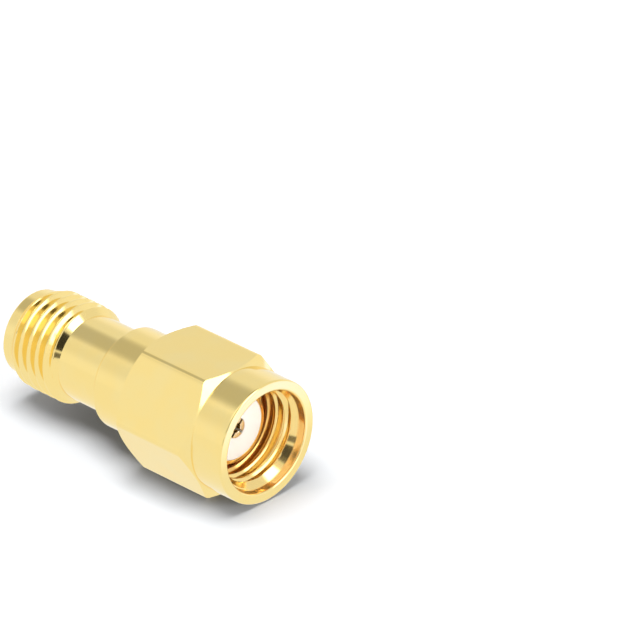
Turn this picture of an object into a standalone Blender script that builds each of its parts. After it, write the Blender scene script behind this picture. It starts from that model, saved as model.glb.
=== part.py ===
"""Coaxial adapter: a plug with a free-spinning hexagonal coupling nut, and a threaded jack behind it.

The adapter lies on one flat of its nut. Its axis runs along X through the origin, half way along its
length, with the mouth of the nut at +X. Sizes are in millimetres. A station is a distance along the
axis behind the front face of the nut.
"""

import math

import bmesh
import bpy
from mathutils import Matrix

MM = 0.001
WELD = 1e-8
SEGMENTS = 48
CONTACT_SEGMENTS = 24

# Lengths that add up to the adapter's own
NUT_LENGTH = 8.52
COLLAR_STANDOUT = 3.26
NECK_LENGTH = 3.47
JACK_LENGTH = 4.57

# Clearances and the small bevels that break the turned edges
NUT_RUNNING_CLEARANCE = 0.08
NUT_END_PLAY = 0.1
NUT_THREAD_CLEARANCE = 0.03
JACK_FIT_CLEARANCE = 0.045
RING_RADIAL_CLEARANCE = 0.07
RING_SIDE_CLEARANCE = 0.05
SEAT_CLEARANCE = 0.02
PRESS_CLEARANCE = 0.015
EDGE_BREAK = 0.06
CUTTER_OVERSHOOT = 0.04
SHARP_EDGE = math.radians(35)

# The ferrule, the jack's bore that takes a like ferrule, and the wall that carries the 1/4-36 thread
FERRULE_RADIUS = 2.285
FERRULE_WALL = 0.235
FERRULE_RECESS = 2.5
JACK_WALL = 0.845
JACK_BORE_RADIUS = FERRULE_RADIUS + JACK_FIT_CLEARANCE
THREAD_MAJOR_RADIUS = JACK_BORE_RADIUS + JACK_WALL
THREAD_PITCH = 25.4 / 36
FLANK_ANGLE = math.radians(30)
EXTERNAL_DEPTH_PER_PITCH = 0.6134
EXTERNAL_LAND_PER_PITCH = 0.125
INTERNAL_DEPTH_PER_PITCH = 0.5413
INTERNAL_LAND_PER_PITCH = 0.25

# Body behind the ferrule: shoulder, barrel with the visible collar, neck and jack
COLLAR_STEP = 0.045
COLLAR_CHAMFER = 0.42
COLLAR_RADIUS = THREAD_MAJOR_RADIUS + COLLAR_STEP
COLLAR_END = NUT_LENGTH + COLLAR_STANDOUT
SHOULDER_STEP = 0.47
SHOULDER_LENGTH = 0.45
SHOULDER_RADIUS = COLLAR_RADIUS - SHOULDER_STEP
BARREL_LAND = 1.2
NECK_UNDERCUT = 0.485
NECK_RADIUS = THREAD_MAJOR_RADIUS - NECK_UNDERCUT
NECK_END = COLLAR_END + NECK_LENGTH
JACK_STEP = 0.18
JACK_TAPER_LENGTH = 0.7
JACK_RIM_WIDTH = 0.4
JACK_NOSE_LENGTH = 0.75
JACK_NOSE_BREAK = 0.15
JACK_NOSE_RADIUS = JACK_BORE_RADIUS + JACK_RIM_WIDTH
JACK_BORE_DEPTH = 1.85
ADAPTER_LENGTH = NECK_END + JACK_LENGTH
REFERENCE_PLANE = ADAPTER_LENGTH - JACK_BORE_DEPTH

# Retaining ring, which bites into the body and into the nut's bore
RING_SETBACK = 1.87
RING_WIDTH = 0.5
RING_BITE_IN_BODY = 0.36
RING_BITE_IN_NUT = 0.25
RING_OPENING = math.radians(18)
RING_FRONT = NUT_LENGTH - RING_SETBACK
NUT_BORE_RADIUS = COLLAR_RADIUS + NUT_RUNNING_CLEARANCE
RING_INNER_RADIUS = COLLAR_RADIUS - RING_BITE_IN_BODY
RING_OUTER_RADIUS = NUT_BORE_RADIUS + RING_BITE_IN_NUT
BARREL_FRONT = RING_FRONT - RING_SIDE_CLEARANCE - BARREL_LAND
SHOULDER_FRONT = BARREL_FRONT - SHOULDER_LENGTH

# Coupling nut: its wall is measured over the ring's groove
NUT_WALL = 0.38
NUT_CORNER_ROUND = 0.17
NUT_NOSE_STEP = 0.08
NUT_NOSE_LENGTH = 2.3
NUT_FRONT_TAPER = math.radians(45)
NUT_REAR_TAPER = math.radians(51)
NUT_REAR_FACE_WIDTH = 0.45
NUT_MOUTH_STEP = 0.045
NUT_MOUTH_DEPTH = 0.57
NUT_THREAD_RELIEF = 0.1
NUT_COUNTERSINK_WIDTH = 0.2
NUT_COUNTERSINK_DEPTH = 0.35
NUT_STOCK_MARGIN = 0.3
NUT_GROOVE_RADIUS = RING_OUTER_RADIUS + RING_RADIAL_CLEARANCE
NUT_ACROSS_FLATS = 2 * (NUT_GROOVE_RADIUS + NUT_WALL)
NUT_NOSE_RADIUS = NUT_ACROSS_FLATS / 2 - NUT_NOSE_STEP
NUT_COUNTERSINK_RADIUS = NUT_BORE_RADIUS + NUT_COUNTERSINK_WIDTH
NUT_REAR_FACE_RADIUS = NUT_COUNTERSINK_RADIUS + NUT_REAR_FACE_WIDTH
NUT_THREAD_END = SHOULDER_FRONT - NUT_THREAD_RELIEF

# Gasket
GASKET_INSET = 0.05
GASKET_WIDTH = 0.5
GASKET_RADIUS = SHOULDER_RADIUS - GASKET_INSET

# Centre contact, the web of the body that its collar passes, and the insulators' seats at both ends
CONTACT_RADIUS = 0.635
CONTACT_COLLAR_STEP = 0.315
CONTACT_COLLAR_RADIUS = CONTACT_RADIUS + CONTACT_COLLAR_STEP
SOCKET_WALL = 0.185
SOCKET_RADIUS = CONTACT_RADIUS - SOCKET_WALL
SOCKET_DEPTH = 2.6
SOCKET_POINT = math.radians(59)
SLOT_WIDTH = 0.16
SLOT_MARGIN = 0.4
SLOT_LENGTH = SOCKET_DEPTH - SLOT_MARGIN
SLOTS_PER_SOCKET = 2
WEB_AIR_GAP = 0.51
WEB_SETBACK = 1.78
WEB_LENGTH = 1.24
WEB_RADIUS = CONTACT_COLLAR_RADIUS + WEB_AIR_GAP
WEB_FRONT = COLLAR_END - WEB_SETBACK
WEB_REAR = WEB_FRONT + WEB_LENGTH
SEAT_RADIUS = FERRULE_RADIUS - FERRULE_WALL

GOLD_PLATE = (0.95, 0.68, 0.27)
GOLD_CONTACT = (0.93, 0.66, 0.27)
RING_BRONZE = (0.72, 0.47, 0.24)
PTFE_WHITE = (0.93, 0.91, 0.87)
SILICONE_RED = (0.62, 0.13, 0.06)


def clear_scene():
    """Empties the scene."""
    for obj in list(bpy.data.objects):
        bpy.data.objects.remove(obj, do_unlink=True)


def make_material(name, colour, roughness, metallic):
    """Returns a Principled material."""
    material = bpy.data.materials.new(name)
    material.use_nodes = True
    shader = material.node_tree.nodes["Principled BSDF"]
    shader.inputs["Base Color"].default_value = (*colour, 1.0)
    shader.inputs["Roughness"].default_value = roughness
    shader.inputs["Metallic"].default_value = metallic
    return material


def station_x(station):
    """X of a station, in metres."""
    return (ADAPTER_LENGTH / 2 - station) * MM


def break_edges(outline):
    """Replaces each corner that carries a third number by a bevel with legs of that length."""
    points = []
    for index, corner in enumerate(outline):
        if len(corner) == 2:
            points.append(corner)
            continue
        t, r, leg = corner
        for other_t, other_r in (outline[index - 1][:2], outline[(index + 1) % len(outline)][:2]):
            share = leg / math.hypot(other_t - t, other_r - r)
            points.append((t + share * (other_t - t), r + share * (other_r - r)))
    return points


def finish_object(name, shape, parent, material=None, front=None):
    """Makes an object of a bmesh and shades it. A piece sits at its front station, a cutter at its piece."""
    bmesh.ops.remove_doubles(shape, verts=shape.verts, dist=WELD)
    bmesh.ops.recalc_face_normals(shape, faces=shape.faces)
    mesh = bpy.data.meshes.new(name)
    shape.to_mesh(mesh)
    shape.free()
    mesh.shade_smooth()
    mesh.set_sharp_from_angle(angle=SHARP_EDGE)
    obj = bpy.data.objects.new(name, mesh)
    bpy.context.scene.collection.objects.link(obj)
    obj.parent = parent
    if material:
        mesh.materials.append(material)
    if front is not None:
        obj.location.x = station_x(front)
    return obj


def spin_outline(outline, front, segments, angle=2 * math.pi):
    """Spins (station, radius) corners round the X axis. An outline that starts on the axis is left open.

    The corners start half a facet to the side, so that no edge of a thread or of the hexagon meets one here.
    """
    shape = bmesh.new()
    lean = angle / segments / 2
    across, up = math.sin(lean) * MM, math.cos(lean) * MM
    verts = [shape.verts.new(((front - t) * MM, r * across, r * up)) for t, r in outline]
    ends = list(zip(verts, verts[1:]))
    if outline[0][1] > 0:
        ends.append((verts[-1], verts[0]))
    edges = [shape.edges.new(pair) for pair in ends]
    full_turn = math.isclose(angle, 2 * math.pi)
    section = None if full_turn else shape.faces.new(verts)
    bmesh.ops.spin(
        shape,
        geom=[section] if section else verts + edges,
        cent=(0.0, 0.0, 0.0),
        axis=(1.0, 0.0, 0.0),
        dvec=(0.0, 0.0, 0.0),
        angle=angle,
        steps=segments,
        use_merge=full_turn,
    )
    return shape


def turn_piece(name, outline, front, parent, material, segments=SEGMENTS):
    """Returns a turned piece whose origin is on the axis, at its front station."""
    shape = spin_outline(break_edges(outline), front, segments)
    return finish_object(name, shape, parent, material, front)


def combine(piece, cutter, operation):
    """Cuts or intersects a piece with a cutter, which is left out of the part."""
    cutter.hide_render = True
    cutter.display_type = "WIRE"
    modifier = piece.modifiers.new(cutter.name, "BOOLEAN")
    modifier.operation = operation
    modifier.solver = "EXACT"
    modifier.object = cutter


def thread_cutter(name, crest_radius, depth, land, start, end, front, parent, fade_turns=0.0):
    """Returns a right-hand helical ridge that cuts a 60 degree thread.

    A negative depth cuts inwards, as on the jack, and a positive one outwards, as in the nut. Over
    fade_turns from its start the groove grows from nothing to its full depth.
    """
    side = math.copysign(1.0, depth)
    mouth = (THREAD_PITCH - land) / 2
    slope = math.tan(FLANK_ANGLE)
    inner = crest_radius - side * CUTTER_OVERSHOOT
    steps = round((end - start) / THREAD_PITCH * SEGMENTS)
    shape = bmesh.new()
    sections = []
    for step in range(steps + 1):
        turns = step / SEGMENTS
        growth = min(1.0, turns / fade_turns) if fade_turns else 1.0
        root = crest_radius + growth * depth - (1 - growth) * side * CUTTER_OVERSHOOT / 2
        middle = front - start - turns * THREAD_PITCH
        turn = Matrix.Rotation(-2 * math.pi * turns, 4, "X")
        corners = []
        for radius, direction in ((inner, 1), (inner, -1), (root, -1), (root, 1)):
            half = mouth - side * (radius - crest_radius) * slope
            point = Matrix.Translation(((middle + direction * half) * MM, 0.0, radius * MM)).translation
            corners.append(shape.verts.new(turn @ point))
        sections.append(corners)
    for here, there in zip(sections, sections[1:]):
        for index in range(4):
            after = (index + 1) % 4
            shape.faces.new((here[index], here[after], there[after], there[index]))
    shape.faces.new(sections[0])
    shape.faces.new(sections[-1])
    return finish_object(name, shape, parent)


def hex_bar(parent):
    """Returns the hexagonal bar that the nut is turned from, flats up and down, its corners rounded."""
    overhang = NUT_STOCK_MARGIN * MM
    length = NUT_LENGTH * MM
    shape = bmesh.new()
    corner_radius = NUT_ACROSS_FLATS / math.sqrt(3) * MM
    ring = bmesh.ops.create_circle(shape, cap_ends=True, radius=corner_radius, segments=6)
    bmesh.ops.rotate(shape, verts=ring["verts"], matrix=Matrix.Rotation(math.pi / 2, 3, "Y"))
    first = ring["verts"][0].co
    to_side = Matrix.Rotation(-math.atan2(first.z, first.y), 3, "X")
    bmesh.ops.rotate(shape, verts=shape.verts, matrix=to_side)
    bmesh.ops.translate(shape, verts=shape.verts, vec=(overhang, 0.0, 0.0))
    side = bmesh.ops.extrude_face_region(shape, geom=shape.faces[:])
    far_end = [item for item in side["geom"] if isinstance(item, bmesh.types.BMVert)]
    bmesh.ops.translate(shape, verts=far_end, vec=(-length - 2 * overhang, 0.0, 0.0))
    corners = [edge for edge in shape.edges if abs(edge.verts[0].co.x - edge.verts[1].co.x) > length]
    setback = NUT_CORNER_ROUND * math.tan(math.pi / 6) * MM
    bmesh.ops.bevel(shape, geom=corners, offset=setback, segments=2, profile=0.5, affect="EDGES")
    return finish_object("nut_hex_bar", shape, parent)


def make_coupling_nut(parent, material):
    """The nut: turned nose and tapers on a hexagonal bar, threaded mouth, bore with the ring's groove."""
    stock = NUT_ACROSS_FLATS / math.sqrt(3) + NUT_STOCK_MARGIN
    front_taper = (stock - NUT_NOSE_RADIUS) / math.tan(NUT_FRONT_TAPER)
    rear_taper = (stock - NUT_REAR_FACE_RADIUS) / math.tan(NUT_REAR_TAPER)
    major = THREAD_MAJOR_RADIUS + NUT_THREAD_CLEARANCE
    minor = major - INTERNAL_DEPTH_PER_PITCH * THREAD_PITCH
    mouth = major + NUT_MOUTH_STEP
    groove_front = RING_FRONT - NUT_END_PLAY
    groove_rear = RING_FRONT + RING_WIDTH + NUT_END_PLAY
    outline = [
        (0.0, NUT_NOSE_RADIUS, EDGE_BREAK),
        (NUT_NOSE_LENGTH, NUT_NOSE_RADIUS),
        (NUT_NOSE_LENGTH + front_taper, stock),
        (NUT_LENGTH - rear_taper, stock),
        (NUT_LENGTH, NUT_REAR_FACE_RADIUS),
        (NUT_LENGTH, NUT_COUNTERSINK_RADIUS),
        (NUT_LENGTH - NUT_COUNTERSINK_DEPTH, NUT_BORE_RADIUS),
        (groove_rear, NUT_BORE_RADIUS),
        (groove_rear, NUT_GROOVE_RADIUS),
        (groove_front, NUT_GROOVE_RADIUS),
        (groove_front, NUT_BORE_RADIUS),
        (NUT_THREAD_END, NUT_BORE_RADIUS),
        (NUT_THREAD_END, minor),
        (NUT_MOUTH_DEPTH + mouth - minor, minor),
        (NUT_MOUTH_DEPTH, mouth),
        (0.0, mouth, EDGE_BREAK),
    ]
    nut = turn_piece("coupling_nut", outline, 0.0, parent, material)
    combine(nut, hex_bar(nut), "INTERSECT")
    cutter = thread_cutter(
        "nut_thread_cutter",
        minor,
        major - minor,
        INTERNAL_LAND_PER_PITCH * THREAD_PITCH,
        NUT_MOUTH_DEPTH - THREAD_PITCH / 2,
        NUT_THREAD_END + THREAD_PITCH / 2,
        0.0,
        nut,
    )
    combine(nut, cutter, "DIFFERENCE")
    return nut


def make_body(parent, material):
    """The body, turned in one piece: ferrule, shoulder, barrel and collar, neck, and the threaded jack."""
    groove = RING_INNER_RADIUS - RING_RADIAL_CLEARANCE
    groove_front = RING_FRONT - RING_SIDE_CLEARANCE
    groove_rear = RING_FRONT + RING_WIDTH + RING_SIDE_CLEARANCE
    nose_front = ADAPTER_LENGTH - JACK_NOSE_LENGTH
    step = NECK_RADIUS + JACK_STEP
    outline = [
        (FERRULE_RECESS, FERRULE_RADIUS, EDGE_BREAK),
        (SHOULDER_FRONT, FERRULE_RADIUS),
        (SHOULDER_FRONT, SHOULDER_RADIUS),
        (BARREL_FRONT, SHOULDER_RADIUS),
        (BARREL_FRONT, COLLAR_RADIUS, EDGE_BREAK),
        (groove_front, COLLAR_RADIUS),
        (groove_front, groove),
        (groove_rear, groove),
        (groove_rear, COLLAR_RADIUS),
        (COLLAR_END - COLLAR_CHAMFER, COLLAR_RADIUS),
        (COLLAR_END, COLLAR_RADIUS - COLLAR_CHAMFER),
        (COLLAR_END, NECK_RADIUS),
        (NECK_END, NECK_RADIUS),
        (NECK_END, step),
        (NECK_END + THREAD_MAJOR_RADIUS - step, THREAD_MAJOR_RADIUS),
        (nose_front - JACK_TAPER_LENGTH, THREAD_MAJOR_RADIUS),
        (nose_front, JACK_NOSE_RADIUS),
        (ADAPTER_LENGTH, JACK_NOSE_RADIUS, JACK_NOSE_BREAK),
        (ADAPTER_LENGTH, JACK_BORE_RADIUS, EDGE_BREAK),
        (REFERENCE_PLANE, JACK_BORE_RADIUS),
        (REFERENCE_PLANE, SEAT_RADIUS),
        (WEB_REAR, SEAT_RADIUS),
        (WEB_REAR, WEB_RADIUS),
        (WEB_FRONT, WEB_RADIUS),
        (WEB_FRONT, SEAT_RADIUS),
        (FERRULE_RECESS, SEAT_RADIUS),
    ]
    body = turn_piece("adapter_body", outline, FERRULE_RECESS, parent, material)
    cutter = thread_cutter(
        "jack_thread_cutter",
        THREAD_MAJOR_RADIUS,
        -EXTERNAL_DEPTH_PER_PITCH * THREAD_PITCH,
        EXTERNAL_LAND_PER_PITCH * THREAD_PITCH,
        NECK_END + THREAD_PITCH / 2,
        nose_front + THREAD_PITCH / 2,
        FERRULE_RECESS,
        body,
        fade_turns=0.25,
    )
    combine(body, cutter, "DIFFERENCE")
    return body


def make_retaining_ring(parent, material):
    """The open spring ring that ties the nut to the body and lets it spin."""
    outline = [
        (RING_FRONT, RING_INNER_RADIUS),
        (RING_FRONT, RING_OUTER_RADIUS),
        (RING_FRONT + RING_WIDTH, RING_OUTER_RADIUS),
        (RING_FRONT + RING_WIDTH, RING_INNER_RADIUS),
    ]
    shape = spin_outline(outline, RING_FRONT, SEGMENTS, 2 * math.pi - RING_OPENING)
    return finish_object("retaining_ring", shape, parent, material, RING_FRONT)


def make_gasket(parent, material):
    """The flat ring of silicone round the ferrule, seated on the body's shoulder."""
    rear = SHOULDER_FRONT - SEAT_CLEARANCE
    outline = [
        (rear - GASKET_WIDTH, FERRULE_RADIUS + SEAT_CLEARANCE),
        (rear - GASKET_WIDTH, GASKET_RADIUS, EDGE_BREAK),
        (rear, GASKET_RADIUS, EDGE_BREAK),
        (rear, FERRULE_RADIUS + SEAT_CLEARANCE),
    ]
    return turn_piece("sealing_gasket", outline, rear - GASKET_WIDTH, parent, material)


def make_dielectric(name, front, rear, parent, material):
    """A sleeve of insulation between two stations, bored for the centre contact."""
    bore = CONTACT_RADIUS + PRESS_CLEARANCE
    outside = SEAT_RADIUS - PRESS_CLEARANCE
    outline = [(front, bore), (front, outside), (rear, outside), (rear, bore)]
    return turn_piece(name, outline, front, parent, material)


def make_contact(parent, material):
    """The centre contact: a turned pin with a locating collar and a slotted socket in each end."""
    front = FERRULE_RECESS
    rear = REFERENCE_PLANE
    point = SOCKET_RADIUS / math.tan(SOCKET_POINT)
    collar_front = WEB_FRONT + SEAT_CLEARANCE
    collar_rear = WEB_REAR - SEAT_CLEARANCE
    outline = [
        (front + SOCKET_DEPTH + point, 0.0),
        (front + SOCKET_DEPTH, SOCKET_RADIUS),
        (front, SOCKET_RADIUS),
        (front, CONTACT_RADIUS),
        (collar_front, CONTACT_RADIUS),
        (collar_front, CONTACT_COLLAR_RADIUS),
        (collar_rear, CONTACT_COLLAR_RADIUS),
        (collar_rear, CONTACT_RADIUS),
        (rear, CONTACT_RADIUS),
        (rear, SOCKET_RADIUS),
        (rear - SOCKET_DEPTH, SOCKET_RADIUS),
        (rear - SOCKET_DEPTH - point, 0.0),
    ]
    contact = turn_piece("centre_contact", outline, front, parent, material, CONTACT_SEGMENTS)
    for end_name, mouth, inward in (("plug", front, 1), ("jack", rear, -1)):
        middle = mouth + inward * (SLOT_LENGTH - SLOT_WIDTH) / 2
        for number in range(SLOTS_PER_SOCKET):
            shape = bmesh.new()
            bmesh.ops.create_cube(shape, size=1.0)
            size = (SLOT_LENGTH + SLOT_WIDTH, SLOT_WIDTH, 2 * CONTACT_RADIUS + SLOT_WIDTH)
            bmesh.ops.scale(shape, verts=shape.verts, vec=[side * MM for side in size])
            bmesh.ops.translate(shape, verts=shape.verts, vec=((front - middle) * MM, 0.0, 0.0))
            angle = math.pi * (number + 0.5) / SLOTS_PER_SOCKET
            bmesh.ops.rotate(shape, verts=shape.verts, matrix=Matrix.Rotation(angle, 3, "X"))
            cutter = finish_object(f"{end_name}_slot_cutter_{number + 1}", shape, contact)
            combine(contact, cutter, "DIFFERENCE")
    return contact


def build():
    """Builds the adapter."""
    clear_scene()
    axis = bpy.data.objects.new("adapter_axis", None)
    bpy.context.scene.collection.objects.link(axis)
    gold = make_material("gold_plate", GOLD_PLATE, 0.12, 1.0)
    contact_gold = make_material("contact_gold", GOLD_CONTACT, 0.2, 1.0)
    bronze = make_material("spring_bronze", RING_BRONZE, 0.3, 1.0)
    ptfe = make_material("ptfe", PTFE_WHITE, 0.45, 0.0)
    silicone = make_material("silicone", SILICONE_RED, 0.5, 0.0)
    make_coupling_nut(axis, gold)
    make_body(axis, gold)
    make_retaining_ring(axis, bronze)
    make_gasket(axis, silicone)
    make_dielectric("plug_dielectric", FERRULE_RECESS, WEB_FRONT - SEAT_CLEARANCE, axis, ptfe)
    make_dielectric("jack_dielectric", WEB_REAR + SEAT_CLEARANCE, REFERENCE_PLANE, axis, ptfe)
    make_contact(axis, contact_gold)


build()
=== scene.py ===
"""Looks of a gold-plated coaxial adapter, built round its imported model.

The adapter's axis runs along X, with the mouth of the coupling nut at +X. Sizes of the pieces are in
millimetres. A station is a distance along the axis behind the front face of the nut, and a radius is a
distance from the axis. Turned pieces are drawn as outlines of stations and radii, and one Geometry Nodes
tree spins them: it follows the helix of a thread and the flats of a hexagon on the way.
"""

import logging
import math
from dataclasses import asdict, dataclass
from enum import Enum
from typing import Any, Callable, Union

import bmesh
import bpy
from mathutils import Matrix, Vector


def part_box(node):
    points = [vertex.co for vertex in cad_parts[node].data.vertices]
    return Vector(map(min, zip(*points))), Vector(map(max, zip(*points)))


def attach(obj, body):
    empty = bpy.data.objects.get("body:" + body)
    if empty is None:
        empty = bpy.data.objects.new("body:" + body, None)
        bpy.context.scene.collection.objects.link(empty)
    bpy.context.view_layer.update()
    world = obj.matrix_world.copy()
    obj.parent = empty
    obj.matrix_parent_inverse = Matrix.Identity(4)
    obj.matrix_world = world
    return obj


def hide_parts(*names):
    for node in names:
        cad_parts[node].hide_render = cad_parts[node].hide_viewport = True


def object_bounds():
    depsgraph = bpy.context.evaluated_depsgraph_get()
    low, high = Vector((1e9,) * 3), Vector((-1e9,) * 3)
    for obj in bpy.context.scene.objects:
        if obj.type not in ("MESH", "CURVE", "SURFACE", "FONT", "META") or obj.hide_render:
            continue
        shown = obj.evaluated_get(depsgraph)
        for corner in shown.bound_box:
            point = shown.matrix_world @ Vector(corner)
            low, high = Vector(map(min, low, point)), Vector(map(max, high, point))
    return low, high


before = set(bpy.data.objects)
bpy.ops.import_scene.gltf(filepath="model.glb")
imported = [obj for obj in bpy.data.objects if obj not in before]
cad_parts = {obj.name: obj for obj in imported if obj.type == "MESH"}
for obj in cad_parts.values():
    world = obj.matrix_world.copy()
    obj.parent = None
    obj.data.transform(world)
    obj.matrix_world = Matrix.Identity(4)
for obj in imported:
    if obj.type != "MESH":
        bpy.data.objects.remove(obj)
cad_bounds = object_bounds()

LOG = logging.getLogger("coaxial_adapter")
MM = 0.001
WHITE = (1.0, 1.0, 1.0)
HEX_SIDES = 6.0
HALF_FLAT = math.pi / 6

# Edges that are sharper than this shade flat.
SHARP_EDGE = math.radians(20)
# The largest turn between two rings of a rounded corner.
ARC_STEP = math.radians(13)
# How far the guard ring beside an arc stands off, in millimetres.
GUARD = 0.012
# Points closer than this are one, and shorter edges are dropped, in metres.
WELD_DISTANCE = 2e-7
SHORTEST_EDGE = 1e-9

Triple = tuple[float, float, float]
Span = tuple[float, float]
Piece = bpy.types.Object
Material = bpy.types.Material


class Body(Enum):
    """The two bodies of the adapter that can move against each other."""

    ADAPTER = "adapter"
    NUT = "nut"


class Slot(Enum):
    """The record's material slots."""

    GOLD_PLATE = "gold_plate"
    CONTACT_GOLD = "contact_gold"
    SPRING_BRONZE = "spring_bronze"
    PTFE = "ptfe"
    SILICONE = "silicone"


class Side(Enum):
    """Which side of the metal a thread is cut in: the outside of a stud or the inside of a bore."""

    OUTSIDE = 1.0
    INSIDE = -1.0


def operator(operation: str, swapped: bool = False) -> Callable[["Wire", "Value"], "Wire"]:
    """An arithmetic operator of a wire, which adds a Math node. A swapped one is the reflected form."""

    def work_out(wire: "Wire", other: "Value") -> "Wire":
        """Adds the node."""
        values = (other, wire) if swapped else (wire, other)
        return wire.graph.maths(operation, *values)

    return work_out


@dataclass
class Wire:
    """An output socket of a node tree. Arithmetic on it adds Math nodes."""

    graph: "Graph"
    socket: bpy.types.NodeSocket

    __add__ = operator("ADD")
    __radd__ = operator("ADD", swapped=True)
    __sub__ = operator("SUBTRACT")
    __rsub__ = operator("SUBTRACT", swapped=True)
    __mul__ = operator("MULTIPLY")
    __rmul__ = operator("MULTIPLY", swapped=True)
    __truediv__ = operator("DIVIDE")
    __rtruediv__ = operator("DIVIDE", swapped=True)


Value = Union[Wire, float, int]
Settings = Union[dict[str, Any], None]


class Graph:
    """A node tree, of a material, the world or a modifier, with short ways to add to it."""

    def __init__(self, tree: bpy.types.NodeTree) -> None:
        """Starts from an empty tree."""
        self.tree = tree
        tree.nodes.clear()

    def node(self, kind: str, settings: Settings = None, **sockets: Any) -> bpy.types.Node:
        """Adds a node.

        Args:
            kind: The node's type, such as ShaderNodeMath.
            settings: Its settings, set before its sockets.
            **sockets: Values or wires by socket name with underscores for spaces, or by number as in _0.

        Returns:
            The new node.
        """
        node = self.tree.nodes.new(kind)
        for name, setting in (settings or {}).items():
            setattr(node, name, setting)
        for name, value in sockets.items():
            key = int(name[1:]) if name[1:].isdigit() else name.replace("_", " ")
            self._feed(node.inputs[key], value)
        return node

    def _feed(self, socket: bpy.types.NodeSocket, value: Any) -> None:
        """Links a wire to a socket, or sets the socket's own value."""
        if isinstance(value, Wire):
            self.tree.links.new(value.socket, socket)
        elif isinstance(value, tuple) and socket.type == "RGBA" and len(value) == 3:
            socket.default_value = (*value, 1.0)
        else:
            socket.default_value = value

    def wire(self, kind: str, settings: Settings = None, out: str | int = 0, **sockets: Any) -> Wire:
        """Adds a node and returns one of its outputs."""
        return Wire(self, self.node(kind, settings, **sockets).outputs[out])

    def maths(self, operation: str, *values: Value) -> Wire:
        """Adds a Math node over one, two or three values."""
        sockets = {f"_{number}": value for number, value in enumerate(values)}
        return self.wire("ShaderNodeMath", {"operation": operation}, **sockets)

    def axis(self, name: str, vector: Wire) -> Wire:
        """A vector's X, Y or Z."""
        return self.wire("ShaderNodeSeparateXYZ", out=name, _0=vector)

    def fade(self, amount: Value, first: Value, second: Value) -> Wire:
        """Goes from the first value at an amount of 0 to the second at 1."""
        return first * (1.0 - amount) + amount * second

    def ease(self, value: Value, low: float, high: float) -> Wire:
        """A smooth step from 0 at low to 1 at high."""
        settings = {"interpolation_type": "SMOOTHSTEP"}
        return self.wire("ShaderNodeMapRange", settings, _0=value, _1=low, _2=high)

    def blend(self, amount: Value, first: Any, second: Any) -> Wire:
        """Mixes two colours."""
        return self.wire("ShaderNodeMix", {"data_type": "RGBA"}, out=2, _0=amount, _6=first, _7=second)


@dataclass(frozen=True)
class Corner:
    """A corner of a turned outline.

    A hexed corner lies on the hexagon of the nut: its radius is that of the cone which meets the hexagon
    there, and its station slides by swell for each unit that the hexagon stands outside that radius.
    """

    station: float
    radius: float
    rounding: float = 0.0
    hexed: bool = False
    swell: float = 0.0


@dataclass(frozen=True)
class Row:
    """One line of the spun surface: a ring, or a line along the helix of a thread."""

    station: float
    radius: float
    hexed: bool = False
    swell: float = 0.0
    helix: bool = False


@dataclass(frozen=True)
class Outline:
    """The corners of a turned shape, in order round its section."""

    corners: tuple[Corner, ...]
    closed: bool = False

    def rows(self) -> list[Row]:
        """The rings that the corners give, with an arc for each rounded one.

        Returns:
            The rings in order. A guard ring beside each arc keeps the shading of the next face flat.
        """
        rows: list[Row] = []
        count = len(self.corners)
        for index, corner in enumerate(self.corners):
            at_end = not self.closed and index in (0, count - 1)
            if corner.rounding <= 0 or at_end:
                rows.append(Row(corner.station, corner.radius, corner.hexed, corner.swell))
                continue
            before, after = self.corners[index - 1], self.corners[(index + 1) % count]
            rows.extend(self._arc(corner, before, after))
        return rows

    @staticmethod
    def _arc(corner: Corner, before: Corner, after: Corner) -> list[Row]:
        """The rings of one rounded corner."""
        here = Vector((corner.station, corner.radius))
        back = (Vector((before.station, before.radius)) - here).normalized()
        ahead = (Vector((after.station, after.radius)) - here).normalized()
        opening = back.angle(ahead)
        reach = corner.rounding / math.tan(opening / 2)
        centre = here + (back + ahead).normalized() * corner.rounding / math.sin(opening / 2)
        first, last = here + back * reach - centre, here + ahead * reach - centre
        turn = first.angle_signed(last)
        steps = max(2, math.ceil(abs(turn) / ARC_STEP))
        points = [here + back * (reach + GUARD)]
        for step in range(steps + 1):
            points.append(centre + Matrix.Rotation(-turn * step / steps, 2) @ first)
        points.append(here + ahead * (reach + GUARD))
        return [Row(point.x, point.y) for point in points]


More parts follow.
